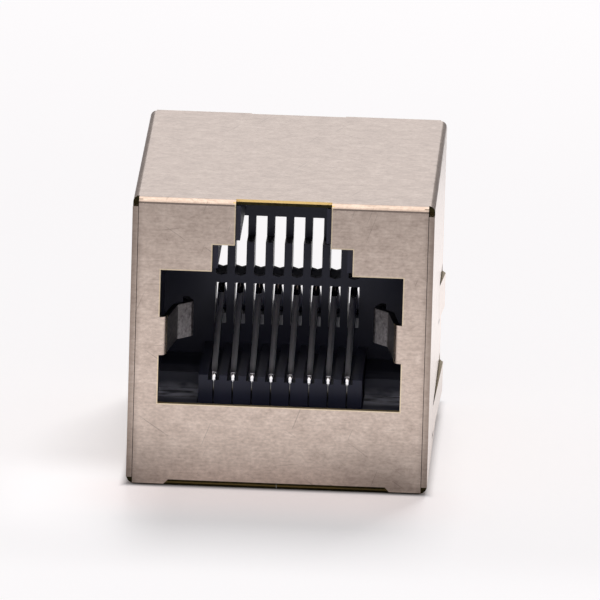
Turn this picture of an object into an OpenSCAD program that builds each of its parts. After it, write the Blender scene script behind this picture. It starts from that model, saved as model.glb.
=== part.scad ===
// Shielded 8-way modular coupler: a folded metal shell round a black moulding, with a socket at each end.
// Front socket faces -Y, the part stands on Z = 0 and is centred on X and Y. Millimetres.

/* [Shell] */
// Outer width of the folded shell
shell_w = 16.1; // [15.6:0.1:18]
// Outer depth from front plate to rear plate
shell_d = 19.2; // [18:0.1:26]
// Outer height of the folded shell
shell_h = 15.9; // [15:0.1:18]
// Thickness of the sheet
sheet = 0.3; // [0.2:0.02:0.4]
// Inner radius of the bends round the top
top_bend_in = 0.06; // [0.04:0.02:0.3]
// Inner radius of the bends round the bottom
floor_bend_in = 0.16; // [0.1:0.02:0.3]
// Gap between an end plate and the side walls
plate_seam = 0.03; // [0.02:0.01:0.1]
// Gap along the middle of the bottom, where the two flaps meet
floor_seam = 0.02; // [0.02:0.01:0.2]
// Gap between the bottom's ends and the end plates
floor_gap = 0.08; // [0.04:0.02:0.4]
// Height of the end plates' lower edge above the bottom
plate_lift = 0.15; // [0.1:0.05:0.3]
// Width of the recess in an end plate's lower edge
recess_w = 12.1; // [8:0.1:14]
// Height of the recess in an end plate's lower edge
recess_h = 0.25; // [0.1:0.05:0.4]
// How far the relief cut at a top corner reaches past the bend
relief_past = 0.12; // [0.05:0.01:0.4]

/* [Socket mouth] */
// Width of the mouth in an end plate
mouth_w = 12.95; // [12.4:0.05:13.6]
// Height of the mouth's lower edge
mouth_bottom = 4.6; // [4.4:0.05:4.9]
// Height of the mouth's upper edge
mouth_top = 11.97; // [11.8:0.05:12.4]
// Width of the step over the mouth
step_w = 7.5; // [6.6:0.05:8.4]
// Height of the step's upper edge
step_top = 13.45; // [13:0.05:14]
// Width of the notch for the plug's latch
latch_w = 5.12; // [4.6:0.05:5.8]
// How far the latch notch cuts into the top past the bend
latch_past = 0.1; // [0.05:0.01:0.4]

/* [Shield springs] */
// Height of the middle of the fingers beside the mouth
finger_z = 8.31; // [7.8:0.05:8.8]
// Height of the tab that a finger is bent from
finger_tab_h = 2.1; // [1.6:0.05:2.6]
// Height of a finger's blade
finger_h = 1.9; // [1.4:0.05:2.4]
// Inner radius of a finger's bends
finger_bend_in = 0.12; // [0.05:0.01:0.2]
// Length of a finger's first leg
finger_leg = 2.65; // [1.8:0.05:3]
// Lean of a finger's first leg towards the plug, in degrees
finger_lean = 9; // [4:1:12]
// Length of a finger's second leg, which presses on the plug
finger_press = 0.95; // [0.8:0.05:1.4]
// Further lean of a finger's second leg, in degrees
finger_kink = 35; // [15:1:35]
// Length of a finger's turned back tip
finger_tip = 0.8; // [0.5:0.05:1]
// Turn of a finger's tip, away from the plug, in degrees
finger_turn = 66; // [50:1:80]
// Distance that the crests of the side tongues stand proud
tongue_proud = 0.22; // [0.1:0.02:0.4]
// Gap cut round the side tongues
tongue_gap = 0.22; // [0.15:0.01:0.3]
// Distance of the side tongues' free ends from the rear
tongue_end = 0.95; // [0.9:0.05:2]
// Distance of the side tongues' crests from their free ends
tongue_crest = 1.1; // [0.8:0.05:1.6]
// Length of the upper side tongue
tongue_upper_l = 4.2; // [3:0.1:6]
// Height of the upper side tongue's lower edge
tongue_upper_z = 5.9; // [5:0.1:8]
// Height of the upper side tongue's blade
tongue_upper_h = 1.9; // [1:0.1:2.5]
// Length of the lower side tongue
tongue_lower_l = 10.4; // [7:0.1:12]
// Height of the lower side tongue's lower edge
tongue_lower_z = 1.2; // [0.8:0.1:2]
// Height of the lower side tongue's blade
tongue_lower_h = 1.6; // [0.8:0.1:2]

/* [Moulding] */
// Clearance between the moulding and the shell, and round the inserts
fit = 0.05; // [0.03:0.01:0.08]
// Room in the moulding behind the side tongues, past their free ends
tongue_room = 0.15; // [0.05:0.01:0.2]
// How far the plug cavity stands back from the mouth's edges
cavity_relief = 0.12; // [0.05:0.01:0.2]
// Width of the latch channel in the moulding
channel_w = 4.6; // [4.1:0.05:4.8]
// Width of the shoulders under the latch channel in the moulding
shoulder_w = 6.9; // [5.6:0.05:7]
// Height of the top of the shoulders in the moulding
shoulder_top = 13.65; // [13.2:0.05:14.2]
// Height of the floor of the side pockets
pocket_floor = 4.25; // [3.8:0.05:4.5]
// Height of the raised floor behind the side pockets
pocket_ledge = 5.15; // [4.8:0.05:5.5]
// Distance of the raised floor from the mouth
pocket_d = 4.5; // [3.5:0.1:5.5]
// Thickness of the comb wall between the two cavities
comb_t = 2; // [1.6:0.1:2.6]
// Height of the top of the comb
comb_top = 11.4; // [11:0.05:11.8]
// Clearance on each side of a contact in its slot
slot_clear = 0.11; // [0.08:0.01:0.14]
// Height of the floor of the comb's slots
slot_floor = 6.85; // [6.2:0.05:7.2]
// Height of the underside of the comb's cross bars
bar_bottom = 9.1; // [8.8:0.05:9.4]
// Height of a cross bar at the ribs
bar_h = 0.5; // [0.5:0.05:1.2]
// Depth of the vee in a cross bar's top between the ribs
bar_vee = 0.1; // [0.1:0.05:0.3]
// Thickness of a cross bar
bar_t = 0.4; // [0.4:0.05:0.7]
// Thickness of the web over the comb
web_t = 0.6; // [0.4:0.05:0.8]
// Height of the top of the web's windows
window_top = 12.5; // [12:0.05:12.8]
// Width of the group of windows in the web
window_w = 5.8; // [3.4:0.05:8]

/* [Contacts] */
// Number of contacts in a socket
ways = 8; // [8]
// Spacing of the contacts
pitch = 1.02; // [1:0.005:1.05]
// Diameter of the contact wire
wire_d = 0.38; // [0.3:0.01:0.42]
// Inner radius of the contacts' bends
wire_bend_in = 0.2; // [0.12:0.01:0.3]
// How far forming thins the contact wire in its bends, on the radius
wire_thin = 0.01; // [0.008:0.001:0.014]
// Distance from the end plate's outer face to a contact carrier
carrier_setback = 1.7; // [1.4:0.05:2.2]
// Width of a carrier outside its first and last slots
carrier_edge = 0.5; // [0.15:0.01:0.5]
// Height of the top of the carriers
carrier_top = 5.8; // [5.4:0.05:5.9]
// Depth of the slots in a carrier's top
carrier_slot = 0.45; // [0.35:0.01:0.6]
// Thickness of the skin that closes the slots at a carrier's front
skin_t = 0.12; // [0.08:0.01:0.2]
// Distance of the top of that skin below the top of the carrier
skin_drop = 0.28; // [0.2:0.01:0.35]
// Width of the slit in the skin in front of a contact
slit_w = 0.09; // [0.06:0.01:0.2]
// Distance of a contact's front behind that skin
wire_sink = 0.04; // [0.02:0.01:0.1]
// Clearance behind and above a contact in the carrier
wire_clear = 0.02; // [0.01:0.01:0.05]
// Gap between the tips of opposite contacts
tip_gap = 0.6; // [0.4:0.05:0.8]
// Clearance of a contact's tip under the cross bar
tip_clear = 0.1; // [0.06:0.01:0.2]
// Distance of the nearer row of tails from the carrier's front
tail_near = 2.6; // [2.2:0.1:3]
// Distance between the two rows of tails
tail_rows = 1.8; // [1.4:0.1:2.2]
// Height of the contacts' hidden run above the board
run_lift = 0.5; // [0.4:0.05:0.8]

/* [Board] */
// Width of the circuit board
board_w = 12.4; // [10.5:0.1:13.5]
// Distance of the circuit board's ends behind the carriers' fronts
board_back = 0.3; // [0.1:0.05:0.8]
// Thickness of the circuit board
board_t = 1; // [0.8:0.1:1.2]
// Space under the circuit board
board_gap = 0.7; // [0.5:0.05:0.9]
// How far the contacts' tails stand out under the board
tail_out = 0.35; // [0.2:0.05:0.4]
// Clearance round a tail in its hole in the board
tail_clear = 0.1; // [0.05:0.01:0.15]

/* [Hidden] */
$fn = 48;
eps = 0.01;
past = 1;
front_y = -shell_d / 2;
plate_in = front_y + sheet;
plate_hw = shell_w / 2 - sheet - plate_seam;
top_bend = top_bend_in + sheet;
floor_bend = floor_bend_in + sheet;
floor_y = plate_in + floor_gap;
relief = top_bend + relief_past;
body_hw = shell_w / 2 - sheet - fit;
body_hd = shell_d / 2 - sheet - fit;
body_z0 = sheet + fit;
tongue_y = shell_d / 2 - tongue_end;
body_z1 = shell_h - sheet - fit;
cavity_hw = mouth_w / 2 + cavity_relief;
cavity_top = mouth_top + cavity_relief;
comb_hd = comb_t / 2;
slot_w = wire_d + 2 * slot_clear;
web_y = comb_hd - web_t;
bar_top = bar_bottom + bar_h;
array_w = (ways - 1) * pitch;
carrier_hw = array_w / 2 + slot_w / 2 + carrier_edge;
carrier_y = front_y + carrier_setback;
board_y = carrier_y + board_back;
board_z = sheet + board_gap;
board_top = board_z + board_t;
wire_r = wire_d / 2;
wire_bend = wire_bend_in + wire_r;
wire_lap = 0.6 * sqrt(2 * wire_bend * wire_thin);
rise_y = carrier_y + skin_t + wire_sink + wire_r;
run_z = board_top + run_lift;
lip_z = carrier_top - carrier_slot;
skin_top = carrier_top - skin_drop;
lip = [rise_y + wire_bend, lip_z];
tip = [-tip_gap / 2, bar_bottom - wire_r - tip_clear];
tip_far = norm(tip - lip);
spring_l = sqrt(pow(tip_far, 2) - pow(wire_bend, 2));
spring_tilt = atan2(tip[1] - lip[1], tip[0] - lip[0]) - asin(wire_bend / tip_far);
metal = "#cfc6bd";
black = "#17181c";
plated = "#b8bac0";
green = "#2f6b45";

function contact_x(i) = (i - 1) * pitch - array_w / 2;
function tail_y(i) = carrier_y + tail_near + (i % 2) * tail_rows;

// A box from its low corner to its high corner
module span(low, high) {
    translate(low) cube(high - low);
}

// Children, and the same children turned round to the rear end
module both_ends() {
    children();
    rotate(180) children();
}

// Children, and the same children mirrored to the left side
module both_sides() {
    children();
    mirror([1, 0, 0]) children();
}

// Sector of a strip's bend: starts at the origin heading +X and turns by the signed angle
module strip_bend(turn, inner) {
    side = sign(turn);
    outer = inner + sheet;
    reach = 2 * outer;
    start = -90 * side;
    translate([0, side * (inner + sheet / 2)]) intersection() {
        difference() {
            circle(outer);
            circle(inner);
        }
        polygon([[0, 0], for (k = [0:2]) reach * [cos(start + turn * k / 2), sin(start + turn * k / 2)]]);
    }
}

// Outline of a folded strip, leg by leg, from the origin along +X
module strip(legs, turns, inner, i = 0) {
    translate([-eps, -sheet / 2]) square([legs[i] + 2 * eps, sheet]);
    if (i < len(turns)) {
        middle = sign(turns[i]) * (inner + sheet / 2);
        translate([legs[i], 0]) {
            strip_bend(turns[i], inner);
            translate([0, middle]) rotate(turns[i]) translate([0, -middle]) strip(legs, turns, inner, i + 1);
        }
    }
}

// Round wire, leg by leg, from the origin along +X with its bends in the XY plane
// The legs reach into the bends, which are a little thinner, so that all join as one solid
module wire(legs, turns, i = 0) {
    back = i == 0 ? 0 : wire_lap;
    ahead = i == len(turns) ? 0 : wire_lap;
    translate([-back, 0, 0]) rotate([0, 90, 0]) cylinder(d = wire_d, h = back + legs[i] + ahead);
    if (i < len(turns)) {
        side = sign(turns[i]);
        turn = abs(turns[i]);
        start = side > 0 ? -90 : 90 - turn;
        translate([legs[i], 0, 0]) {
            translate([0, side * wire_bend, 0]) rotate(start) rotate_extrude(angle = turn)
                translate([wire_bend, 0]) circle(r = wire_r - wire_thin);
            translate([0, side * wire_bend, 0]) rotate(turns[i]) translate([0, -side * wire_bend, 0])
                wire(legs, turns, i + 1);
        }
    }
}

// Box outline with rounded upper and lower corners
module rounded_outline(half_w, low, high, r_top, r_low) {
    translate([-half_w, low + r_low]) square([2 * half_w, high - low - r_top - r_low]);
    translate([r_top - half_w, high - 2 * r_top]) square([2 * (half_w - r_top), 2 * r_top]);
    translate([r_low - half_w, low]) square([2 * (half_w - r_low), 2 * r_low]);
    both_sides() {
        translate([half_w - r_top, high - r_top]) circle(r_top);
        translate([half_w - r_low, low + r_low]) circle(r_low);
    }
}

// Top, sides and bottom, folded from one strip with the seam under the bottom
module tube() {
    difference() {
        rotate([90, 0, 0]) linear_extrude(shell_d, center = true) difference() {
            rounded_outline(shell_w / 2, 0, shell_h, top_bend, floor_bend);
            rounded_outline(shell_w / 2 - sheet, sheet, shell_h - sheet, top_bend_in, floor_bend_in);
        }
        span([-floor_seam / 2, -shell_d, -past], [floor_seam / 2, shell_d, sheet + past]);
        both_ends() {
            span([-shell_w, -shell_d, -past], [shell_w, floor_y, floor_bend]);
            span([-shell_w, -shell_d, shell_h - relief], [shell_w, front_y + relief, shell_h + past]);
        }
    }
}

// Mouth of the socket, seen from the front
module mouth_outline() {
    translate([-mouth_w / 2, mouth_bottom]) square([mouth_w, mouth_top - mouth_bottom]);
    translate([-step_w / 2, mouth_bottom]) square([step_w, step_top - mouth_bottom]);
    translate([-latch_w / 2, mouth_bottom]) square([latch_w, shell_h - mouth_bottom + past]);
}

// Recess in an end plate's lower edge, with sloped ends
module recess_outline() {
    polygon([
        [-recess_w / 2, plate_lift - eps],
        [recess_w / 2, plate_lift - eps],
        [recess_w / 2 - recess_h, plate_lift + recess_h],
        [recess_h - recess_w / 2, plate_lift + recess_h]
    ]);
}

// End plate folded down from the top
module end_plate() {
    difference() {
        translate([plate_hw, 0, 0]) rotate([0, -90, 0]) linear_extrude(2 * plate_hw) plate_outline();
        translate([0, plate_in + past, 0]) rotate([90, 0, 0]) linear_extrude(sheet + 2 * past)
            recess_outline();
    }
}

// End plate, its bend and the start of the top, seen from the side with height along X and depth along Y
module plate_outline() {
    translate([plate_lift, front_y]) square([shell_h - top_bend - plate_lift, sheet]);
    translate([shell_h - top_bend, front_y + top_bend]) intersection() {
        difference() {
            circle(top_bend);
            circle(top_bend_in);
        }
        translate([0, -2 * top_bend]) square(2 * top_bend);
    }
    translate([shell_h - sheet, front_y + top_bend]) square([sheet, relief_past + eps]);
}

// Spring finger on the left of a mouth: folded back from the plate, pressing on the plug's side
module finger() {
    root = sheet;
    legs = [root, finger_leg, finger_press, finger_tip];
    turns = [90 - finger_lean, -finger_kink, finger_turn];
    translate([-mouth_w / 2 - root, front_y + sheet / 2, finger_z]) {
        linear_extrude(finger_h, center = true) strip(legs, turns, finger_bend_in);
        linear_extrude(finger_tab_h, center = true) {
            translate([0, -sheet / 2]) square([root, sheet]);
            translate([root, 0]) strip_bend(turns[0], finger_bend_in);
        }
    }
}

// Window in the right wall round a side tongue
module tongue_window(low, height, length) {
    span(
        [shell_w / 2 - sheet - past, tongue_y - length, low - tongue_gap],
        [shell_w / 2 + past, tongue_y + tongue_gap, low + height + tongue_gap]
    );
}

// Tongue in the right wall: ramps outwards to a crest and dips back in at its free end
module tongue(low, height, length) {
    wall = shell_w / 2;
    route = [
        [wall, tongue_y - length - sheet],
        [wall, tongue_y - length + sheet],
        [wall + tongue_proud, tongue_y - tongue_crest],
        [wall - tongue_proud, tongue_y]
    ];
    inner = [for (k = [len(route) - 1:-1:0]) route[k] - [sheet, 0]];
    translate([0, 0, low]) linear_extrude(height) polygon(concat(route, inner));
}

module shell() {
    color(metal) {
        difference() {
            union() {
                tube();
                both_ends() end_plate();
            }
            both_ends() {
                translate([0, front_y + top_bend + latch_past, 0]) rotate([90, 0, 0]) linear_extrude(shell_d)
                    mouth_outline();
            }
            both_sides() {
                tongue_window(tongue_upper_z, tongue_upper_h, tongue_upper_l);
                tongue_window(tongue_lower_z, tongue_lower_h, tongue_lower_l);
            }
        }
        both_ends() both_sides() finger();
        both_sides() {
            tongue(tongue_upper_z, tongue_upper_h, tongue_upper_l);
            tongue(tongue_lower_z, tongue_lower_h, tongue_lower_l);
        }
    }
}

// Plug cavity at the front, from the mouth to the comb, with its side pockets and latch channel
module cavity() {
    mouth_y = front_y - past;
    span([-cavity_hw, mouth_y, pocket_ledge], [cavity_hw, -comb_hd, cavity_top]);
    span([-cavity_hw, mouth_y, pocket_floor], [cavity_hw, front_y + pocket_d, pocket_ledge + eps]);
    span([-shoulder_w / 2, mouth_y, pocket_ledge], [shoulder_w / 2, -comb_hd, shoulder_top]);
    span([-channel_w / 2, mouth_y, pocket_ledge], [channel_w / 2, -comb_hd, body_z1 + past]);
}

// Space over the comb in front of the web, which carries on from the front socket's latch channel
module over_comb() {
    span([-shoulder_w / 2, -comb_hd - eps, comb_top], [shoulder_w / 2, web_y, shoulder_top]);
    span([-channel_w / 2, -comb_hd - eps, comb_top], [channel_w / 2, web_y, body_z1 + past]);
}

// Recess in the moulding's right side that a side tongue springs into
module tongue_recess(low, height, length) {
    span(
        [shell_w / 2 - sheet - tongue_proud - tongue_room, tongue_y - length, low - tongue_gap],
        [shell_w / 2, tongue_y + tongue_gap, low + height + tongue_gap]
    );
}

// Slot of the comb for one contact, open between and over the cross bars
module comb_slot() {
    deep = comb_t + 2 * eps;
    span([-slot_w / 2, -deep / 2, slot_floor], [slot_w / 2, deep / 2, bar_bottom]);
    span([-slot_w / 2, bar_t - comb_hd, slot_floor], [slot_w / 2, comb_hd - bar_t, comb_top + eps]);
    translate([0, deep / 2, 0]) rotate([90, 0, 0]) linear_extrude(deep) polygon([
        [0, bar_top - bar_vee],
        [slot_w / 2, bar_top],
        [slot_w / 2, comb_top + eps],
        [-slot_w / 2, comb_top + eps],
        [-slot_w / 2, bar_top]
    ]);
}

// Windows in the web over the comb, in line with the slots
module web_windows() {
    intersection() {
        for (i = [1:ways]) {
            translate([contact_x(i), 0, 0]) span(
                [-slot_w / 2, web_y - past, comb_top - eps],
                [slot_w / 2, comb_hd + past, window_top]
            );
        }
        span([-window_w / 2, -comb_t, comb_top - past], [window_w / 2, comb_t, window_top + past]);
    }
}

// Hollow under the front cavity for the carrier, open to the board below
module carrier_pocket() {
    span(
        [-carrier_hw - fit, carrier_y - fit, board_top - past],
        [carrier_hw + fit, -comb_hd, pocket_ledge + past]
    );
}

// Block that the moulding is cut from, rounded to sit inside the shell's bends
module moulded_block() {
    intersection() {
        rotate([90, 0, 0]) linear_extrude(2 * body_hd, center = true)
            rounded_outline(body_hw, body_z0, body_z1, top_bend_in, floor_bend_in);
        rotate([90, 0, 90]) linear_extrude(2 * body_hw, center = true)
            rounded_outline(body_hd, body_z0, body_z1, top_bend_in, floor_bend_in);
    }
}

module housing() {
    color(black) difference() {
        moulded_block();
        both_ends() {
            cavity();
            carrier_pocket();
        }
        over_comb();
        for (i = [1:ways]) {
            translate([contact_x(i), 0, 0]) comb_slot();
        }
        web_windows();
        both_sides() {
            tongue_recess(tongue_upper_z, tongue_upper_h, tongue_upper_l);
            tongue_recess(tongue_lower_z, tongue_lower_h, tongue_lower_l);
        }
        span([-board_w / 2 - fit, board_y - fit, 0], [board_w / 2 + fit, fit - board_y, board_top]);
    }
}

// Slot for one contact in a carrier, seen from the side with depth along X and height along Y
module carrier_slot_outline(tail) {
    room = wire_r + wire_clear;
    inside = wire_bend_in - wire_clear;
    start = [carrier_y + skin_t, board_top - past];
    over = [carrier_y - past, skin_top];
    translate(start) square([rise_y + room, carrier_top + past] - start);
    translate(over) square([rise_y, carrier_top + past] - over);
    translate([rise_y, lip_z]) square([-rise_y, carrier_slot + past]);
    translate(start) square([tail + room, run_z + room] - start);
    translate([rise_y + room, run_z + room]) difference() {
        translate([-eps, -eps]) square(inside + eps);
        translate([inside, inside]) circle(inside);
    }
}

// Insert that holds one row of contacts, each in a slot in its top and underside, with a slit in its front
module contact_carrier() {
    color(black) difference() {
        span([-carrier_hw, carrier_y, board_top], [carrier_hw, -comb_hd - fit, carrier_top]);
        for (i = [1:ways]) {
            translate([contact_x(i), 0, 0]) {
                rotate([90, 0, 90]) linear_extrude(slot_w, center = true) carrier_slot_outline(tail_y(i));
                span([-slit_w / 2, carrier_y - past, board_top - past], [slit_w / 2, rise_y, skin_top + eps]);
            }
        }
    }
}

// Spring contact: tail through the board, run under the carrier, rise at its front, spring up to the comb
module contact(i) {
    tail_z = board_z - tail_out;
    legs = [
        run_z - wire_bend - tail_z,
        tail_y(i) - rise_y - 2 * wire_bend,
        lip_z - run_z - wire_bend,
        spring_l
    ];
    turns = [90, -90, spring_tilt - 90];
    color(plated) translate([contact_x(i), tail_y(i), tail_z]) rotate([90, 0, 90]) rotate(90)
        wire(legs, turns);
}

module front_contact_carrier() {
    contact_carrier();
}

module rear_contact_carrier() {
    rotate(180) contact_carrier();
}

module front_contact(i) {
    contact(i);
}

module rear_contact(i) {
    rotate(180) contact(i);
}

module circuit_board() {
    color(green) difference() {
        span([-board_w / 2, board_y, board_z], [board_w / 2, -board_y, board_top]);
        both_ends() for (i = [1:ways]) {
            translate([contact_x(i), tail_y(i), board_z - past])
                cylinder(d = wire_d + 2 * tail_clear, h = board_t + 2 * past);
        }
    }
}

shell();
housing();
front_contact_carrier();
rear_contact_carrier();
circuit_board();
for (i = [1:ways]) {
    front_contact(i);
    rear_contact(i);
}
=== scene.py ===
# %% [markdown]
# # Dressing a shielded network coupler
# The part is a small box of folded, nickel plated brass sheet round a black moulding, with a plug socket at
# each end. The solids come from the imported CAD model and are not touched: this lesson only adds finishes,
# light and a camera. Everything is in metres. The front socket faces -Y, and the part stands on Z = 0.

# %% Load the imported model
import math
from types import SimpleNamespace

import bpy
from mathutils import Matrix, Vector


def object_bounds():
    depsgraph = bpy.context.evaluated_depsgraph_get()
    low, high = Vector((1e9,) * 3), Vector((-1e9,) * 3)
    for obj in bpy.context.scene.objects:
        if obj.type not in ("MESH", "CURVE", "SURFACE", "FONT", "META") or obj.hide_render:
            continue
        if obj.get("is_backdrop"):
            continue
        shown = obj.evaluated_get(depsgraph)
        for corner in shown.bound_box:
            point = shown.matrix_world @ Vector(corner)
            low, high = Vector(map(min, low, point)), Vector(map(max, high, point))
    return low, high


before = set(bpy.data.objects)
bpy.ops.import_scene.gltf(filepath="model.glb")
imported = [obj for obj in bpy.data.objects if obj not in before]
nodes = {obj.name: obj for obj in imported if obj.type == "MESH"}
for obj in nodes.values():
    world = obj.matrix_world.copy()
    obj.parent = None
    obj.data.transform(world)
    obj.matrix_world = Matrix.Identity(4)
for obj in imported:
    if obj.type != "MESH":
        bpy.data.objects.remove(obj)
cad_low, cad_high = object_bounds()
MM = 0.001
print("nodes", len(nodes), "size in mm", [round(v / MM, 2) for v in cad_high - cad_low])

# %% [markdown]
# ## The camera
# The photograph is a long lens view from a little above and to the right, with the picture turned by a
# degree or so. A camera could be aimed by eye. Here its three angles, its distance and its scale were
# fitted to the corners of the box, and the axes are written straight into the camera's matrix, so that
# edges fall where the photograph has them.

# %% Work out the camera's axes
FRAME_PX = 600
YAW = math.radians(2.0)
PITCH = math.radians(15.07)
ROLL = math.radians(1.62)
DISTANCE = 0.9163
PX_PER_M = 18564.0
CENTRE_PX = (287.74, 300.54)

level_right = Vector((math.cos(YAW), math.sin(YAW), 0))
ahead = Vector((-math.sin(YAW) * math.cos(PITCH), math.cos(YAW) * math.cos(PITCH), -math.sin(PITCH)))
level_up = level_right.cross(ahead)
right = math.cos(ROLL) * level_right + math.sin(ROLL) * level_up
up = math.cos(ROLL) * level_up - math.sin(ROLL) * level_right
middle = Vector((0, 0, cad_high.z / 2))
aside = (right * (FRAME_PX / 2 - CENTRE_PX[0]) / PX_PER_M
         + up * (CENTRE_PX[1] - FRAME_PX / 2) / PX_PER_M)
eye = middle - ahead * DISTANCE + aside
print("camera at", [round(v, 4) for v in eye])

# %% Place the camera
SENSOR_WIDTH = 36
CLIP_NEAR, CLIP_FAR = 0.05, 20
camera = bpy.data.objects.new("camera", bpy.data.cameras.new("camera"))
camera.data.sensor_width = SENSOR_WIDTH
camera.data.lens = PX_PER_M * DISTANCE * SENSOR_WIDTH / FRAME_PX
camera.data.clip_start = CLIP_NEAR
camera.data.clip_end = CLIP_FAR
camera.matrix_world = Matrix((
    (right.x, up.x, -ahead.x, eye.x),
    (right.y, up.y, -ahead.y, eye.y),
    (right.z, up.z, -ahead.z, eye.z),
    (0, 0, 0, 1),
))
bpy.context.scene.collection.objects.link(camera)
bpy.context.scene.camera = camera
bpy.context.scene.view_settings.view_transform = "Standard"
print("lens", round(camera.data.lens, 1), "mm")

# %% [markdown]
# ## Helpers for node materials
# A finish is a small graph of shader nodes. Made by hand, each node needs several lines, so a few short
# helpers add a node with its settings and its inputs in one call. An input may be a plain value or another
# node's output.


# %% Add a node
def node(tree, kind, inputs=None, **settings):
    """Add a shader node; inputs maps a socket's name or number to a value or to another node's output."""
    made = tree.nodes.new(kind)
    for name, value in settings.items():
        setattr(made, name, value)
    for key, value in (inputs or {}).items():
        socket = made.inputs[key]
        if isinstance(value, bpy.types.NodeSocket):
            tree.links.new(value, socket)
        else:
            socket.default_value = value
    return made


def new_material(name):
    """An empty node material, its tree and its output node."""
    material = bpy.data.materials.new(name)
    material.use_nodes = True
    material.node_tree.nodes.clear()
    output = node(material.node_tree, "ShaderNodeOutputMaterial")
    return material, material.node_tree, output


print("material helpers ready")


# %% Sums on values
def maths(tree, operation, a, b=0.0, clamp=False):
    """One Math node, as its output."""
    return node(tree, "ShaderNodeMath", {0: a, 1: b}, operation=operation, use_clamp=clamp).outputs[0]


def product(tree, *parts):
    """The product of several values: for masks, 1 where all of them are 1."""
    found = parts[0]
    for part in parts[1:]:
        found = maths(tree, "MULTIPLY", found, part)
    return found


def blend(tree, start, *weighted):
    """A start value plus each part times its weight."""
    total = start
    for part, weight in weighted:
        total = maths(tree, "ADD", total, maths(tree, "MULTIPLY", part, weight))
    return total


print("sums ready")

# %% [markdown]
# A mask is a value that is 1 where a finish should show and 0 elsewhere. Paint on a picture could be a mask
# too, but a few comparisons need no picture and stay sharp at any size. The next helpers make masks and mix
# by them.


# %% Make masks
def any_of(tree, *parts):
    """The largest of several values: for masks, 1 where at least one of them is 1."""
    found = parts[0]
    for part in parts[1:]:
        found = maths(tree, "MAXIMUM", found, part)
    return found


def over(tree, value, limit):
    """1 where the value is above the limit."""
    return maths(tree, "GREATER_THAN", value, limit)


def under(tree, value, limit):
    """1 where the value is below the limit."""
    return maths(tree, "LESS_THAN", value, limit)


def near(tree, value, middle, reach):
    """1 where the value is within reach of the middle."""
    return under(tree, maths(tree, "ABSOLUTE", maths(tree, "SUBTRACT", value, middle)), reach)


def eased(tree, value, low, high):
    """0 at the low value and 1 at the high one, with a smooth change between, also where low is larger."""
    return node(tree, "ShaderNodeMapRange", {"Value": value, "From Min": low, "From Max": high},
                interpolation_type="SMOOTHSTEP").outputs[0]


print("masks ready")


# %% Mix by a mask
def choose(tree, mask, if_low, if_high):
    """One value where the mask is 0 and another where it is 1."""
    return node(tree, "ShaderNodeMix", {0: mask, 2: if_low, 3: if_high}, data_type="FLOAT").outputs[0]


def mixed(tree, mask, plain, marked):
    """One colour where the mask is 0 and another where it is 1."""
    return node(tree, "ShaderNodeMix", {0: mask, 6: plain, 7: marked}, data_type="RGBA").outputs[2]


print("mixes ready")

# %% [markdown]
# ## Floor
# The photograph has a white table that runs into a white background. A floor lit to pure white would need
# so much light that the part would burn out. Instead the floor is an ordinary matt white with a weak glow
# for rays that come from the camera or from a reflection, so it reads as white and still takes the part's
# soft shadow.

# %% Lay the floor
HALF_FLOOR = 1.5
FLOOR_DROP = 0.01 * MM
SQUARE = ((-1, -1), (1, -1), (1, 1), (-1, 1))
floor_mesh = bpy.data.meshes.new("floor")
floor_corners = [(x * HALF_FLOOR, y * HALF_FLOOR, 0) for x, y in SQUARE]
floor_mesh.from_pydata(floor_corners, [], [(0, 1, 2, 3)])
floor = bpy.data.objects.new("floor", floor_mesh)
floor.location.z = -FLOOR_DROP
bpy.context.scene.collection.objects.link(floor)
floor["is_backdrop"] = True
print("floor", 2 * HALF_FLOOR, "m square")

# %% [markdown]
# The glow is not even, because a real table isn't: it is shaded close to the part, bright a little further
# off, and duller again far away. The front plate mirrors the floor in front of it, its foot the near floor
# and its top the far floor, so this gives the plate its slow change of brightness. A lamp for each plate
# could do it too, but would light the black moulding as well. First, each spot of floor is measured from
# the part.


# %% Measure the floor from the part
def mm(*lengths):
    """Lengths in millimetres, as metres."""
    return tuple(length * MM for length in lengths)


SIDE_AT, REAR_AT = mm(8.0, 9.6)
SIDE_CLEARS, END_CLEARS = mm(7.9, 8.5), mm(9.1, 9.9)
floor_white, tree, output = new_material("floor_white")
spot = node(tree, "ShaderNodeNewGeometry")
away = node(tree, "ShaderNodeSeparateXYZ", {0: spot.outputs["Position"]}).outputs
from_middle = maths(tree, "ABSOLUTE", away["X"])
in_length = maths(tree, "ABSOLUTE", away["Y"])
to_front = maths(tree, "MULTIPLY", away["Y"], -1.0)
past_side = maths(tree, "SUBTRACT", from_middle, SIDE_AT)
past_rear = maths(tree, "SUBTRACT", away["Y"], REAR_AT)
beyond = any_of(tree, past_side, past_rear)
not_under = any_of(tree, eased(tree, from_middle, *SIDE_CLEARS), eased(tree, in_length, *END_CLEARS))
print("floor nodes so far", len(tree.nodes))

# %% Set the glow that reflections see
MIRROR_SHIFT = 1.5 * MM
CORNER_ASIDE, CORNER_AHEAD, CORNER_SHADE = mm(2.0, 9.0), mm(26.0, 16.0), 0.55
CLOSE_SHADE, FAR_SHADE, FRONT_GLOW = mm(4.0, 20.0), mm(73.0, 37.0), 1.42
RISE_OVER, RISE_LEVELS = mm(0.0, 14.0), (1.1, 1.8)
FALL_OVER, FALL_LEVELS = mm(20.0, 60.0), (1.0, 0.7)
BESIDE_FROM = mm(-9.0, -8.0)

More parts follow.
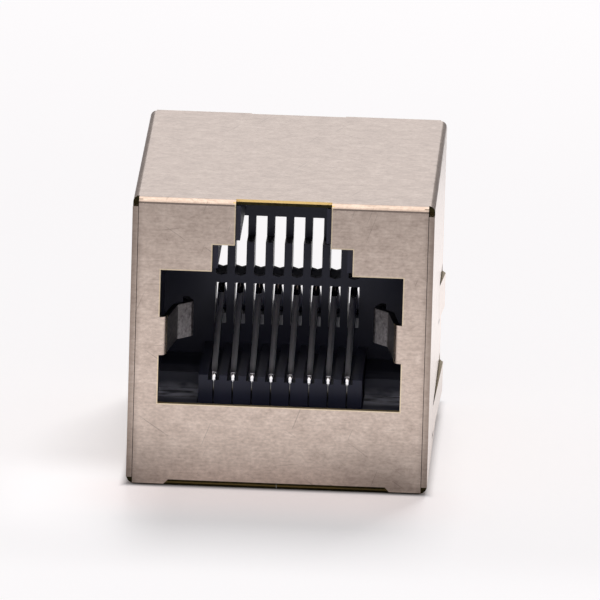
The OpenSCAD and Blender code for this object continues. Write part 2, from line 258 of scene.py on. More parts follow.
off_middle = maths(tree, "ABSOLUTE", maths(tree, "ADD", away["X"], MIRROR_SHIFT))
in_corner = product(tree, eased(tree, off_middle, *CORNER_ASIDE), eased(tree, to_front, *CORNER_AHEAD))
corner = product(tree, in_corner, CORNER_SHADE)
close = maths(tree, "SUBTRACT", eased(tree, to_front, *CLOSE_SHADE), corner, clamp=True)
in_front = product(tree, close, eased(tree, to_front, *FAR_SHADE), FRONT_GLOW)
rise = choose(tree, eased(tree, beyond, *RISE_OVER), *RISE_LEVELS)
fall = choose(tree, eased(tree, beyond, *FALL_OVER), *FALL_LEVELS)
around = product(tree, eased(tree, away["Y"], *BESIDE_FROM), rise, fall)
mirrored = any_of(tree, around, in_front)
print("floor nodes so far", len(tree.nodes))

# %% [markdown]
# The camera sees the floor itself nearly even. It is a little lighter and warmer right in front, where the
# plate throws light back on it, lighter to the left in front, a painted light that fills the shadow there,
# and duller in the distance.

# %% Set the glow that the camera sees
BOUNCE_ENDS, BOUNCE_STARTS, BOUNCE_ASIDE = mm(17.0, 11.5), mm(8.0, 9.5), mm(10.0, 4.0)
LEFT_INNER, LEFT_OUTER = mm(-5.0, -9.0), mm(-17.5, -9.0)
LEFT_STARTS, LEFT_ENDS = mm(3.0, 9.0), mm(26.0, 13.0)
OPEN_FROM, FAR_FROM = mm(19.0, 28.0), mm(0.0, 60.0)
BOUNCE_GAIN, LEFT_GAIN, OPEN_GAIN, FAR_LOSS = 0.22, 0.58, 0.14, 0.10

in_bounce = product(tree, eased(tree, to_front, *BOUNCE_ENDS), eased(tree, to_front, *BOUNCE_STARTS))
bounced = product(tree, in_bounce, eased(tree, from_middle, *BOUNCE_ASIDE))
# painted light: the glow is lifted on the floor to the left in front, filling the part's shadow
left_side = product(tree, eased(tree, away["X"], *LEFT_INNER), eased(tree, away["X"], *LEFT_OUTER))
left_front = product(tree, eased(tree, to_front, *LEFT_STARTS), eased(tree, to_front, *LEFT_ENDS))
lifted = product(tree, left_side, left_front)
near_part = blend(tree, 1.0, (bounced, BOUNCE_GAIN), (lifted, LEFT_GAIN))
open_floor = eased(tree, to_front, *OPEN_FROM)
distance = eased(tree, away["Y"], *FAR_FROM)
direct = blend(tree, near_part, (open_floor, OPEN_GAIN), (distance, -FAR_LOSS))
print("floor nodes so far", len(tree.nodes))

# %% [markdown]
# A second lit floor for reflections could be built under the first. One shader does both: it asks which
# kind of ray has arrived. Under the part, reflections pass through the floor, and so does every ray from
# beneath, so that the underside isn't black when it is looked at from below.


# %% Put the floor's shader together
def seen_rays(tree):
    """1 for camera, glossy and transmission rays, and 0 for the rest."""
    kinds = node(tree, "ShaderNodeLightPath").outputs
    return any_of(tree, kinds["Is Camera Ray"], kinds["Is Glossy Ray"], kinds["Is Transmission Ray"])


PAPER, WARMED_PAPER = (1.0, 0.984, 0.992, 1), (1.0, 0.89, 0.88, 1)
MATT_WHITE = (0.80, 0.787, 0.794, 1)
FLOOR_GLOW = 0.36
WARM_ASIDE = mm(13.0, 6.0)
COVERED_X, COVERED_Y = mm(7.6, 9.0)

warmed = product(tree, in_bounce, eased(tree, from_middle, *WARM_ASIDE))
paper = mixed(tree, warmed, PAPER, WARMED_PAPER)
path = node(tree, "ShaderNodeLightPath").outputs
shade = choose(tree, path["Is Camera Ray"], mirrored, direct)
strength = product(tree, seen_rays(tree), shade, not_under, FLOOR_GLOW)
matt = node(tree, "ShaderNodeBsdfDiffuse", {"Color": MATT_WHITE})
glow = node(tree, "ShaderNodeEmission", {"Color": paper, "Strength": strength})
lit = node(tree, "ShaderNodeAddShader", {0: matt.outputs[0], 1: glow.outputs[0]})
covered = product(tree, under(tree, from_middle, COVERED_X), under(tree, in_length, COVERED_Y))
cleared = any_of(tree, spot.outputs["Backfacing"], product(tree, covered, path["Is Glossy Ray"]))
see_through = node(tree, "ShaderNodeBsdfTransparent")
both_sides = node(tree, "ShaderNodeMixShader", {0: cleared, 1: lit.outputs[0], 2: see_through.outputs[0]})
tree.links.new(both_sides.outputs[0], output.inputs["Surface"])
floor_mesh.materials.append(floor_white)
print("floor nodes", len(tree.nodes))

# %% [markdown]
# ## Background
# Behind a white table stands white card. A lit wall could be built, but the world does the same with no
# mesh: it is white for the camera and for reflections, and only a plain, even light for everything else.

# %% Light the background
AMBIENT = 0.38
BACKDROP = 0.965
world = bpy.data.worlds.new("studio")
world.use_nodes = True
tree = world.node_tree
tree.nodes.clear()
level = blend(tree, AMBIENT, (seen_rays(tree), BACKDROP - AMBIENT))
air = node(tree, "ShaderNodeBackground", {"Color": PAPER, "Strength": level})
node(tree, "ShaderNodeOutputWorld", {"Surface": air.outputs[0]})
bpy.context.scene.world = world
print("ambient level", AMBIENT, "backdrop", BACKDROP)

# %% [markdown]
# ## Studio light
# Bare metal shows its surroundings, so a lamp's place matters more than its strength. The shadow falls to
# the front and a little to the left, so the main soft box hangs behind the part and to its right. Its own
# mirror image would burn out the top from some sides, so reflections don't see it. The bright line along
# the front bend mirrors a wide, weak reflector overhead, which is a lamp that only reflections see.


# %% Hang the soft boxes
def soft_box(name, place, target, size_x, size_y, radiance, colour=(1, 1, 1)):
    """A rectangular lamp of the given surface radiance, aimed at a point."""
    lamp = bpy.data.lights.new(name, "AREA")
    lamp.shape = "RECTANGLE"
    lamp.size = size_x
    lamp.size_y = size_y
    lamp.energy = radiance * math.pi * size_x * size_y
    lamp.color = colour
    box = bpy.data.objects.new(name, lamp)
    box.location = place
    box.rotation_euler = (Vector(target) - Vector(place)).to_track_quat("-Z", "Y").to_euler()
    box.visible_camera = False
    bpy.context.scene.collection.objects.link(box)
    return box


key_box = soft_box(
    "key_box", place=(0.06, 0.30, 0.46), target=(0, 0, 0), size_x=0.22, size_y=0.22, radiance=9.0,
)
key_box.visible_glossy = False
reflector = soft_box(
    "reflector", place=(0, 0.06, 0.42), target=(0, 0.06, 0), size_x=0.70, size_y=0.60, radiance=0.32,
    colour=(1.0, 0.985, 0.95),
)
reflector.visible_diffuse = False

# %% [markdown]
# A bright box on a white ground loses its outline. A photographer stands a dark card on each side, a little
# behind the part, and the rounded bends along the top then mirror the cards as two dark lines. The right
# wall looks between them and stays white. The cards are hidden from the camera, light nothing and throw no
# shadow.

# %% Stand a dark card on each side
FELT_COLOUR, FELT_LEVEL = (1, 0.95, 0.95, 1), 0.26


def reflection_only(name, mesh):
    """Put a dark sheet in the studio that only reflections can see."""
    felt, tree, output = new_material(name + "_felt")
    dark = node(tree, "ShaderNodeEmission", {"Color": FELT_COLOUR, "Strength": FELT_LEVEL})
    tree.links.new(dark.outputs[0], output.inputs["Surface"])
    mesh.materials.append(felt)
    sheet = bpy.data.objects.new(name, mesh)
    bpy.context.scene.collection.objects.link(sheet)
    sheet.visible_camera = False
    sheet.visible_diffuse = False
    sheet.visible_shadow = False
    sheet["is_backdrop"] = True


CARD_NEAR, CARD_FAR, CARD_Y, CARD_TOP = mm(17.0, 60.0, 60.0, 34.0)
for side, name in ((-1, "left_card"), (1, "right_card")):
    near_x, far_x = side * CARD_NEAR, side * CARD_FAR
    low_corners = [(near_x, CARD_Y, 0), (far_x, CARD_Y, 0)]
    high_corners = [(far_x, CARD_Y, CARD_TOP), (near_x, CARD_Y, CARD_TOP)]
    card_mesh = bpy.data.meshes.new(name)
    card_mesh.from_pydata(low_corners + high_corners, [], [(0, 1, 2, 3)])
    reflection_only(name, card_mesh)
print("cards", CARD_NEAR / MM, "to", CARD_FAR / MM, "mm from the middle")

# %% [markdown]
# ## Nickel plated sheet
# The shell is blanked and folded from one sheet of brass with a thin, finely brushed nickel plate. The
# brushing runs across the top, over the bends and on down the walls. Unwrapping the mesh would do for one
# mesh only, so the texture is laid by rule: the surface's own direction picks which coordinate runs along
# the lines and which across.

# %% Where a point is and which way it faces
FACING, EDGE_ON = 0.7, 0.3


def surface(tree):
    """Position in millimetres, distance from the middle planes, and the size of each part of the normal."""
    geometry = node(tree, "ShaderNodeNewGeometry").outputs
    place = node(tree, "ShaderNodeVectorMath", {0: geometry["Position"], 1: (1 / MM,) * 3},
                 operation="MULTIPLY").outputs[0]
    at = node(tree, "ShaderNodeSeparateXYZ", {0: place}).outputs
    size = node(tree, "ShaderNodeVectorMath", {0: geometry["True Normal"]}, operation="ABSOLUTE").outputs[0]
    normal = node(tree, "ShaderNodeSeparateXYZ", {0: size}).outputs
    return SimpleNamespace(
        place=place, x=at["X"], y=at["Y"], z=at["Z"],
        half_x=maths(tree, "ABSOLUTE", at["X"]), half_y=maths(tree, "ABSOLUTE", at["Y"]),
        nx=normal["X"], ny=normal["Y"], nz=normal["Z"],
    )


def sheet_coordinates(tree, s):
    """A vector whose X runs along the brushing and whose Y runs across it, in millimetres."""
    along = choose(tree, over(tree, s.nx, FACING), s.x, s.z)
    across = choose(tree, over(tree, s.ny, FACING), s.y, s.z)
    return node(tree, "ShaderNodeCombineXYZ", {0: along, 1: across}).outputs[0]


print("surface helpers ready")


# %% Texture helpers
def noise(tree, vector, scale, stretch=(1, 1, 1), detail=2.0, rough=0.5):
    """A noise texture on stretched coordinates, as its factor."""
    laid = node(tree, "ShaderNodeMapping", {"Vector": vector, "Scale": stretch})
    return node(tree, "ShaderNodeTexNoise", {
        "Vector": laid.outputs[0], "Scale": scale, "Detail": detail, "Roughness": rough,
    }).outputs[0]


def ramp(tree, factor, stops):
    """A colour ramp with (position, colour) stops, as its colour."""
    made = node(tree, "ShaderNodeValToRGB", {0: factor})
    band = made.color_ramp
    while len(band.elements) < len(stops):
        band.elements.new(0.5)
    for element, (position, colour) in zip(band.elements, stops):
        element.position = position
        element.color = (*colour, 1)
    return made.outputs[0]


def two_tone(tree, factor, dark, light, start=0.3, end=0.7):
    """A dark shade up to the start of the factor, a light one from its end, and a change between them."""
    return ramp(tree, factor, [(start, dark), (end, light)])


print("texture helpers ready")

# %% [markdown]
# Up close the plate is a sandy grain with fine lines through it and a slow change of tone. One noise can't
# be all of these, so four noises of different size and stretch are added and turned into three close shades
# of warm grey.

# %% Lay the brushed grain
CLOUD_SHARE, MOTTLE_SHARE, GRAIN_SHARE, LINE_SHARE = 0.15, 0.27, 0.38, 0.20
PLATE_SHADES = [
    (0.36, (0.45, 0.362, 0.312)), (0.50, (0.585, 0.478, 0.414)), (0.64, (0.72, 0.605, 0.53)),
]

nickel, tree, output = new_material("nickel_plated_sheet")
s = surface(tree)
sheet = sheet_coordinates(tree, s)
lines = noise(tree, sheet, scale=1.0, stretch=(0.35, 9.0, 1), detail=4.0, rough=0.65)
cloud = noise(tree, sheet, scale=0.55, detail=3.0)
mottle = noise(tree, sheet, scale=1.5, stretch=(0.8, 1.2, 1))
grain = noise(tree, sheet, scale=5.5, stretch=(0.75, 1.2, 1), detail=3.0, rough=0.6)
broad = blend(tree, 0.0, (cloud, CLOUD_SHARE), (mottle, MOTTLE_SHARE))
tone = blend(tree, broad, (grain, GRAIN_SHARE), (lines, LINE_SHARE))
plate_colour = ramp(tree, tone, PLATE_SHADES)
print("grain nodes", len(tree.nodes))

# %% [markdown]
# Handling leaves a few hair scratches and pits. Drawn one by one they would need a texture picture. Instead
# a noise is stretched until it is all streaks, and only its highest crests are kept, in three directions.
# The pits are the middles of some cells of a cell pattern.

# %% Scratch and pit the plate
STREAK_TURNS = (5.0, -35.0, 70.0)
STREAK_LONG, STREAK_WIDE, STREAK_WAVER, STREAK_CREST = 3.0, 0.11, 0.4, 0.81
PIT_CELLS, PIT_SIZE, PIT_PICK = 0.55, 0.022, 0.55
MARK_DEPTH, MARK_COLOUR = 0.28, (0.10, 0.08, 0.07, 1)

streaks = []
for turn in STREAK_TURNS:
    laid = node(tree, "ShaderNodeMapping", {
        "Vector": sheet, "Location": (turn, turn, 0), "Rotation": (0, 0, math.radians(turn)),
        "Scale": (STREAK_LONG, STREAK_WIDE, 1),
    }, vector_type="TEXTURE")
    streak = node(tree, "ShaderNodeTexNoise", {
        "Vector": laid.outputs[0], "Scale": 1.0, "Detail": 0.0, "Distortion": STREAK_WAVER,
    })
    streaks.append(over(tree, streak.outputs[0], STREAK_CREST))
cells = node(tree, "ShaderNodeTexVoronoi", {"Vector": sheet, "Scale": PIT_CELLS}).outputs
picked = node(tree, "ShaderNodeSeparateColor", {0: cells["Color"]}).outputs[0]
pit = product(tree, under(tree, cells["Distance"], PIT_SIZE), over(tree, picked, PIT_PICK))
marks = product(tree, any_of(tree, *streaks, pit), MARK_DEPTH)
plate_colour = mixed(tree, marks, plate_colour, MARK_COLOUR)
print("scratch directions", len(streaks))

# %% [markdown]
# The fingers inside the mouth are greyer than the outside. The bend along each end of the top gets a painted
# highlight, its colour brightened where it mirrors the overhead light, and a painted dark reflection along
# its lower side. Another sheet for each would break the fold, so all are told by where a point is and which
# way it faces, in millimetres from the model's drawing.

# %% Grey the fingers
PLATE_IN = 9.27
FINGER_SIDE, FINGER_Z, FINGER_REACH = 6.45, 8.3, 1.2
FINGER_DARK, FINGER_LIGHT = (0.25, 0.235, 0.24), (0.56, 0.53, 0.54)

in_mouth = product(tree, under(tree, s.half_x, FINGER_SIDE), under(tree, s.half_y, PLATE_IN))
inside = product(tree, in_mouth, near(tree, s.z, FINGER_Z, FINGER_REACH))
finger_colour = two_tone(tree, grain, FINGER_DARK, FINGER_LIGHT, start=0.35, end=0.65)
plate_colour = mixed(tree, inside, plate_colour, finger_colour)
print("sheet nodes so far", len(tree.nodes))

# %% Paint the bends' highlight and dark reflection
BEND_LOW, BEND_ASIDE = 15.0, 0.2
BEND_TILT, FOOT_TILT = (0.7025, 0.2825), (0.31, 0.13)
BEND_HIGHLIGHT, BEND_SHADE_COLOUR = (1.38, 1.31, 1.22, 1), (0.19, 0.15, 0.13, 1)

# painted highlight: the bend's colour is brightened where it mirrors the overhead light
highlighted = node(tree, "ShaderNodeMix", {0: 1.0, 6: plate_colour, 7: BEND_HIGHLIGHT},
                 data_type="RGBA", blend_type="MULTIPLY").outputs[2]
at_bend = product(tree, under(tree, s.nx, BEND_ASIDE), over(tree, s.z, BEND_LOW))
bend = product(tree, near(tree, s.nz, *BEND_TILT), at_bend)
# painted dark reflection along the lower side of each bend
bend_shade = product(tree, near(tree, s.nz, *FOOT_TILT), at_bend)
plate_colour = mixed(tree, bend, plate_colour, highlighted)
plate_colour = mixed(tree, bend_shade, plate_colour, BEND_SHADE_COLOUR)
print("sheet nodes so far", len(tree.nodes))

# %% [markdown]
# The end plate's colour is darkened towards its sides and into the ends of the walls, a painted shade, and
# the gap between them is painted bright inside, a painted light over its shadow. A dark line could be
# modelled there, but a soft change of colour is what the eye sees.

# %% Paint shade on the end plates' sides and light in the gaps
PLATE_MID = 9.5
SIDE_DARKENS, SIDE_DEPTH, SIDE_SHADE_COLOUR = (7.40, 8.05), 0.55, (0.14, 0.105, 0.085, 1)
GAP_AT, GAP_REACH, GAP_LIGHT_COLOUR = 7.735, 0.04, (0.93, 0.89, 0.86, 1)

end_plate = product(tree, over(tree, s.ny, FACING), over(tree, s.half_y, PLATE_MID))
# painted shade towards the end plate's sides
side_shade = product(tree, end_plate, eased(tree, s.half_x, *SIDE_DARKENS), SIDE_DEPTH)
colour = mixed(tree, side_shade, plate_colour, SIDE_SHADE_COLOUR)
# painted light inside the gap between the end plate and the wall
at_gap = product(tree, near(tree, s.half_x, GAP_AT, GAP_REACH), over(tree, s.half_y, PLATE_IN))
gap_light = product(tree, over(tree, s.nx, FACING), at_gap)
colour = mixed(tree, gap_light, colour, GAP_LIGHT_COLOUR)
print("sheet nodes so far", len(tree.nodes))

# %% [markdown]
# Where the sheet was cut, the plating stops and the brass shows as thin gold lines round the mouth, the
# latch notch and the springs. Painting those faces by hand would tie the look to one mesh. A cut face can
# be told by rule: its normal lies in the plane of the sheet it belongs to.

# %% Find the bright cuts
MOUTH_SIDE, MOUTH_Z, MOUTH_REACH = 7.0, 10.0, 5.5
NOTCH_SIDE, NOTCH_LIP = 2.7, 15.76

round_mouth = product(tree, under(tree, s.half_x, MOUTH_SIDE), near(tree, s.z, MOUTH_Z, MOUTH_REACH))
mouth_cut = product(tree, over(tree, s.half_y, PLATE_IN), round_mouth, under(tree, s.ny, EDGE_ON))
in_notch = under(tree, s.half_x, NOTCH_SIDE)
notch_lip = product(tree, over(tree, s.ny, FACING), in_notch, over(tree, s.z, NOTCH_LIP))
bright_cut = any_of(tree, mouth_cut, notch_lip)
print("sheet nodes so far", len(tree.nodes))

# %% [markdown]
# The punch also rubs the plating off a hair of the plate round the mouth. A thin ring of mesh could lie
# there, but it would be a piece that the part doesn't have. Instead the distance to the mouth is measured
# from the three boxes that make up its outline. The rim stops where the fingers are bent off the plate,
# because nothing was cut there.

# %% Find the rubbed rim
MOUTH_LOW = 4.6
MOUTH_BOXES = ((6.475, 11.97), (3.75, 13.45), (2.56, 16.0))
TAB_SIDE, TAB_Z, TAB_REACH = 6.3, 8.31, 1.08
RIM_WIDTH = 0.06
FAR_AWAY = 100.0

from_mouth = FAR_AWAY
for half_width, high in MOUTH_BOXES:
    beside = maths(tree, "SUBTRACT", s.half_x, half_width)
    below = maths(tree, "SUBTRACT", MOUTH_LOW, s.z)
    above = maths(tree, "SUBTRACT", s.z, high)
    from_mouth = maths(tree, "MINIMUM", any_of(tree, beside, below, above), from_mouth)
off_tab = over(tree, maths(tree, "ABSOLUTE", maths(tree, "SUBTRACT", s.z, TAB_Z)), TAB_REACH)
was_cut = any_of(tree, off_tab, under(tree, s.half_x, TAB_SIDE))
rim = product(tree, near(tree, from_mouth, RIM_WIDTH / 2, RIM_WIDTH / 2), end_plate, was_cut)
print("sheet nodes so far", len(tree.nodes))

# %% [markdown]
# One brass for every cut would look painted on. The mouth's sill is duller than the rest, the lip of the
# latch notch has the deepest gold, and the rubbed rim is half nickel still.

# %% Gild the bright cuts and the rim
BRASS_DARK, BRASS_LIGHT = (0.78, 0.58, 0.27), (0.95, 0.78, 0.44)
RIM_DEPTH, RIM_COLOUR = 0.45, (0.92, 0.78, 0.50, 1)
SILL_TOP, SILL_DEPTH, SILL_COLOUR = 5.0, 0.5, (0.42, 0.33, 0.22, 1)
LIP_DEPTH, LIP_COLOUR = 0.6, (1.0, 0.68, 0.24, 1)

brass = two_tone(tree, grain, BRASS_DARK, BRASS_LIGHT)
sill = product(tree, mouth_cut, over(tree, s.nz, FACING), under(tree, s.z, SILL_TOP), SILL_DEPTH)
colour = mixed(tree, product(tree, rim, RIM_DEPTH), colour, RIM_COLOUR)
colour = mixed(tree, bright_cut, colour, brass)
colour = mixed(tree, sill, colour, SILL_COLOUR)
colour = mixed(tree, product(tree, notch_lip, LIP_DEPTH), colour, LIP_COLOUR)
print("sheet nodes so far", len(tree.nodes))

# %% [markdown]
# A punch shears the first part of a sheet bright and tears the rest. The ends of the bottom, its seam, the
# corner cuts, the fingers' edges and half of the latch notch get a dull brass, nearly black, which is partly
# the torn brass and partly painted shade, since these faces sit deep in gaps, in corners and under the part;
# one sheared line along the bottom stays lighter. The side tongues' cut edges get a browner one that is a
# little lighter, partly brass and partly painted shade of their gaps. More sheets or more materials could do
# this, but the same rule by place and direction keeps it one finish.

# %% Find the dull cuts
BOTTOM_TOP, SEAM_SIDE, SKIRT_TOP = 0.5, 0.5, 0.6
RELIEF_SIDE, RELIEF_LOW = 7.5, 15.2
TORN_Z, TORN_REACH = 15.63, 0.13
EDGE_SIDE, EDGE_REACH = 6.7, 1.3

end_on = product(tree, over(tree, s.ny, FACING), under(tree, s.half_y, PLATE_MID))
low_down = under(tree, s.z, BOTTOM_TOP)
seam = product(tree, over(tree, s.nx, FACING), under(tree, s.half_x, SEAM_SIDE), low_down)
relief = product(tree, end_on, over(tree, s.half_x, RELIEF_SIDE), over(tree, s.z, RELIEF_LOW))
at_skirt = product(tree, over(tree, s.half_y, PLATE_IN), under(tree, s.z, SKIRT_TOP))
skirt = product(tree, at_skirt, under(tree, s.ny, EDGE_ON))
torn = product(tree, end_on, in_notch, near(tree, s.z, TORN_Z, TORN_REACH))
at_finger = product(tree, under(tree, s.half_x, EDGE_SIDE), near(tree, s.z, FINGER_Z, EDGE_REACH))
finger_edge = product(tree, over(tree, s.nz, FACING), at_finger)
shaded_dull_cut = any_of(tree, product(tree, end_on, low_down), seam, relief, skirt, torn, finger_edge)
print("sheet nodes so far", len(tree.nodes))

# %% Brown and shade the dull cuts and the tongues
DULL_SHADE_DARK, DULL_SHADE_LIGHT = (0.016, 0.013, 0.007), (0.050, 0.040, 0.016)
SHEAR_SIDE, SHEAR_Z, SHEAR_REACH, SHEAR_COLOUR = 7.0, 0.15, 0.035, (0.17, 0.125, 0.045, 1)
TONGUE_SIDE, TONGUE_Z, TONGUE_REACH = 7.3, 8.0, 7.3
TONGUE_SHADE_DARK, TONGUE_SHADE_LIGHT = (0.11, 0.073, 0.016), (0.21, 0.145, 0.040)

sheared = product(tree, end_on, near(tree, s.z, SHEAR_Z, SHEAR_REACH), under(tree, s.half_x, SHEAR_SIDE))
between = product(tree, under(tree, s.half_y, PLATE_MID), near(tree, s.z, TONGUE_Z, TONGUE_REACH))
shaded_tongue_cut = product(tree, over(tree, s.half_x, TONGUE_SIDE), between, under(tree, s.nx, EDGE_ON))
# partly painted shade: these cut faces are darkened because they sit in gaps, corners and under the part
colour = mixed(tree, shaded_dull_cut, colour, two_tone(tree, grain, DULL_SHADE_DARK, DULL_SHADE_LIGHT))
colour = mixed(tree, sheared, colour, SHEAR_COLOUR)
colour = mixed(tree, shaded_tongue_cut, colour, two_tone(tree, grain, TONGUE_SHADE_DARK, TONGUE_SHADE_LIGHT))
print("sheet nodes so far", len(tree.nodes))

# %% [markdown]
# Last come gloss and relief. Brushed plate is glossier along some lines than others, the inner fingers are
# duller, and a cut is rough. The relief is only a few thousandths of a millimetre, too fine to model, so a
# bump does it.

# %% Finish the plated sheet
PLATE_ROUGH, LINE_ROUGH, CLOUD_ROUGH, FINGER_ROUGH, CUT_ROUGH = 0.14, 0.12, 0.04, 0.12, 0.5
GRAIN_HEIGHT, BRUSH_BUMP, BRUSH_DEPTH = 0.6, 0.25, 0.004 * MM

rough = blend(tree, PLATE_ROUGH, (lines, LINE_ROUGH), (cloud, CLOUD_ROUGH), (inside, FINGER_ROUGH))
rough = choose(tree, bright_cut, rough, CUT_ROUGH)
height = blend(tree, lines, (grain, GRAIN_HEIGHT))
bump = node(tree, "ShaderNodeBump", {"Strength": BRUSH_BUMP, "Distance": BRUSH_DEPTH, "Height": height})
metal = node(tree, "ShaderNodeBsdfPrincipled", {
    "Base Color": colour, "Metallic": 1.0, "Roughness": rough, "Normal": bump.outputs[0],
})
tree.links.new(metal.outputs[0], output.inputs["Surface"])
print("plated sheet nodes", len(tree.nodes))

# %% [markdown]
# ## Black moulding
# The housing and the two contact carriers are moulded from a black, slightly blue plastic with a half
# gloss, which is why the hollow looks black with a few soft reflections. One flat black would do from afar,
# but a real moulding is never quite even, so a fine grain breaks up the gloss and a broad, weak cloud
# stands for the flow of the plastic.

# %% Mix the black plastic
BLACK_DARK, BLACK_LIGHT = (0.018, 0.020, 0.042), (0.026, 0.028, 0.056)
MOULD_ROUGH, TEXTURE_ROUGH = 0.32, 0.16

black, tree, output = new_material("black_moulding")
s = surface(tree)
flow = noise(tree, s.place, scale=0.6)
texture = noise(tree, s.place, scale=14.0)
colour = two_tone(tree, flow, BLACK_DARK, BLACK_LIGHT)
rough = blend(tree, MOULD_ROUGH, (texture, TEXTURE_ROUGH))
print("black moulding nodes so far", len(tree.nodes))

# %% [markdown]
# A mould is polished where it is easy to reach and left plain elsewhere. The tops of the comb's cross bars
# are hard to reach and come out matt. The floors of its windows are glossier and painted a pale grey, a
# painted reflection of the bright opening behind them. A second material would split one moulding in two, so
# only roughness and colour change, by where a point is.

# %% Dull the comb's bars and paint a reflection on its windows' floors
COMB_END = 1.1
BAR_TOP, BAR_REACH, BAR_ROUGH = 9.55, 0.2, 0.85
WINDOW_LOW, WINDOW_REACH, WINDOW_ROUGH, WINDOW_REFLECTION_COLOUR = 6.85, 0.1, 0.22, (0.50, 0.50, 0.60, 1)

facing_up = over(tree, s.nz, FACING)
in_comb = product(tree, facing_up, under(tree, s.half_y, COMB_END))
on_bar = product(tree, in_comb, near(tree, s.z, BAR_TOP, BAR_REACH))
in_window = product(tree, in_comb, near(tree, s.z, WINDOW_LOW, WINDOW_REACH))
# painted reflection: the window floors are coloured pale grey
colour = mixed(tree, in_window, colour, WINDOW_REFLECTION_COLOUR)
rough = choose(tree, on_bar, rough, BAR_ROUGH)
rough = choose(tree, in_window, rough, WINDOW_ROUGH)
print("black moulding nodes so far", len(tree.nodes))

# %% [markdown]
# The two front pockets, beside the contacts, are smeared with pale dust, most of it at the back of their
# floors. Loose grains could be scattered, but a smear has no height to speak of, so it is a soft mask on
# the same plastic: paler and quite matt.

# %% Dust the front pockets
POCKET_SIDE, POCKET_END, POCKET_TOP = 4.45, -3.5, 5.3
SWEPT_TOP, SWEPT_OVER, FOOT_OVER = 4.4, (-7.5, -6.4), (4.75, 4.3)
SMEAR_SCALE, SMEAR_STRETCH, SMEAR_OVER = 1.3, (0.6, 1.4, 1.4), (0.20, 0.55)
THIN_DUST, SWEPT_DUST, FOOT_DUST = 0.10, 0.88, 0.30
DUST_COLOUR, DUST_ROUGH = (0.80, 0.80, 0.90, 1), 0.75

at_side = over(tree, s.half_x, POCKET_SIDE)
pocket = product(tree, at_side, under(tree, s.y, POCKET_END), under(tree, s.z, POCKET_TOP))
swept = product(tree, facing_up, under(tree, s.z, SWEPT_TOP), eased(tree, s.y, *SWEPT_OVER))
foot = product(tree, under(tree, s.nz, FACING), eased(tree, s.z, *FOOT_OVER))
smear = eased(tree, noise(tree, s.place, SMEAR_SCALE, SMEAR_STRETCH), *SMEAR_OVER)
thickness = blend(tree, THIN_DUST, (swept, SWEPT_DUST), (foot, FOOT_DUST))
dust = product(tree, pocket, smear, thickness)
colour = mixed(tree, dust, colour, DUST_COLOUR)
rough = choose(tree, dust, rough, DUST_ROUGH)
print("black moulding nodes so far", len(tree.nodes))

# %% [markdown]
# Last comes the plastic's own grain. It is a few thousandths of a millimetre deep, too fine for mesh, so a
# bump stands for it, and the gloss is kept a little weaker than on polished plastic.

# %% Finish the plastic
MOULD_BUMP, MOULD_DEPTH, MOULD_SPECULAR = 0.15, 0.006 * MM, 0.32

bump = node(tree, "ShaderNodeBump", {"Strength": MOULD_BUMP, "Distance": MOULD_DEPTH, "Height": texture})
plastic = node(tree, "ShaderNodeBsdfPrincipled", {
    "Base Color": colour, "Roughness": rough, "Normal": bump.outputs[0], "Specular IOR Level": MOULD_SPECULAR,
})
tree.links.new(plastic.outputs[0], output.inputs["Surface"])
print("black moulding nodes", len(tree.nodes))

# %% [markdown]
# ## Contact wire
# The contacts are bright plated spring wire. In the dark hollow they mirror black plastic and only flash
# where a bend catches the light, and that flash is helped by a painted highlight, a paler colour on the front
# bend. Their sloping spans are drawn and a little duller than the bends, with a paler colour as a painted
# sheen, and their upright legs are coloured dark, a painted dark reflection, so the finish follows the
# height, with a fine grain along the wire. A material for each would need the wires cut up.

# %% Build the contact finish
WIRE_DARK, WIRE_LIGHT = (0.50, 0.49, 0.50), (0.66, 0.65, 0.66)
WIRE_ROUGH, DRAWN_ROUGH = 0.10, 0.12
SPAN_STARTS, SPAN_TOP, SPAN_TILT = (5.6, 6.2), 8.6, 0.5
SPAN_SHEEN_COLOUR, SPAN_ROUGH = (0.80, 0.80, 0.84, 1), 0.45
FLASH_Z, FLASH_REACH, PAINTED_FLASH_COLOUR = 5.64, 0.22, (0.94, 0.93, 0.95, 1)
LEG_TOP, LEG_SHADE_COLOUR = 5.42, (0.16, 0.16, 0.17, 1)

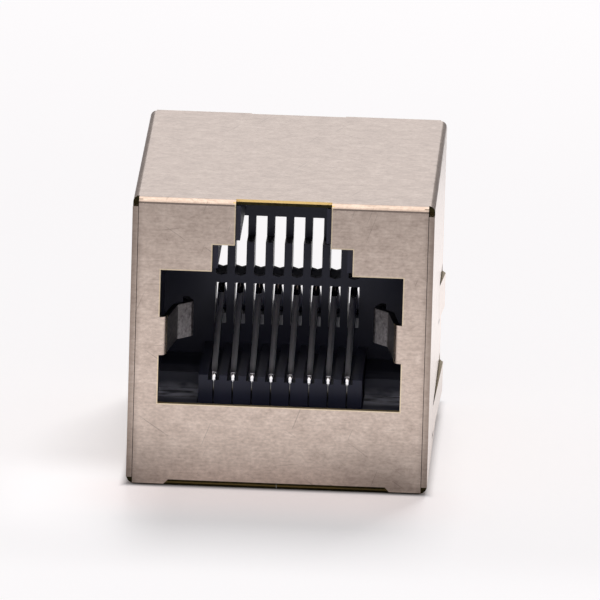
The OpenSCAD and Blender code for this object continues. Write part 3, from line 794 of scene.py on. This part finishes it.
wire, tree, output = new_material("contact_wire")
s = surface(tree)
drawn = noise(tree, s.place, scale=3.0, stretch=(6.0, 0.5, 0.5), detail=3.0)
span = product(tree, eased(tree, s.z, *SPAN_STARTS), under(tree, s.z, SPAN_TOP), over(tree, s.nz, SPAN_TILT))
# painted sheen on the spans, painted highlight at the front bend, painted dark reflection on the legs
colour = mixed(tree, span, two_tone(tree, drawn, WIRE_DARK, WIRE_LIGHT), SPAN_SHEEN_COLOUR)
colour = mixed(tree, near(tree, s.z, FLASH_Z, FLASH_REACH), colour, PAINTED_FLASH_COLOUR)
colour = mixed(tree, under(tree, s.z, LEG_TOP), colour, LEG_SHADE_COLOUR)
rough = choose(tree, span, blend(tree, WIRE_ROUGH, (drawn, DRAWN_ROUGH)), SPAN_ROUGH)
bright = node(tree, "ShaderNodeBsdfPrincipled", {"Base Color": colour, "Metallic": 1.0, "Roughness": rough})
tree.links.new(bright.outputs[0], output.inputs["Surface"])
print("contact wire nodes", len(tree.nodes))

# %% [markdown]
# ## Circuit board
# The board is hidden inside, but it is part of the model, so it gets the green resist and the weave of
# glass fibre that shows faintly through it. A picture of cloth could be wrapped on; two sets of fine waves
# at right angles make the same weave with no picture.

# %% Build the board finish
RESIST_DARK, RESIST_LIGHT = (0.012, 0.085, 0.035), (0.02, 0.13, 0.055)
RESIST_ROUGH, WEAVE_BUMP, WEAVE_DEPTH = 0.38, 0.2, 0.01 * MM

board, tree, output = new_material("board_resist")
s = surface(tree)
threads = {"Vector": s.place, "Scale": 1.6, "Distortion": 0.4}
warp = node(tree, "ShaderNodeTexWave", threads, bands_direction="X").outputs[1]
weft = node(tree, "ShaderNodeTexWave", threads, bands_direction="Y").outputs[1]
weave = product(tree, warp, weft)
colour = two_tone(tree, weave, RESIST_DARK, RESIST_LIGHT, start=0.1, end=0.9)
bump = node(tree, "ShaderNodeBump", {"Strength": WEAVE_BUMP, "Distance": WEAVE_DEPTH, "Height": weave})
resist = node(tree, "ShaderNodeBsdfPrincipled", {
    "Base Color": colour, "Roughness": RESIST_ROUGH, "Normal": bump.outputs[0],
})
tree.links.new(resist.outputs[0], output.inputs["Surface"])
print("board nodes", len(tree.nodes))

# %% [markdown]
# ## Putting the finishes on
# Each CAD object already has one material slot from the imported file. Swapping the material in that slot
# leaves the mesh alone, so the solids stay exactly those of the imported file.

# %% Assign the finishes
finishes = {"shell": nickel, "housing": black, "circuit_board": board}
for name, piece in nodes.items():
    if name.endswith("_carrier"):
        finish = black
    elif "_contact_" in name:
        finish = wire
    else:
        finish = finishes[name]
    for slot in piece.material_slots:
        slot.material = finish
    print(name, "gets", finish.name)

# %% [markdown]
# ## The size
# Blender must not change the object's size. The box from straight after loading was printed at the start,
# and the box now is printed here, so that the two can be compared.

# %% Print the box now
low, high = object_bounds()
print("visual size in mm", [round(v / MM, 3) for v in high - low])
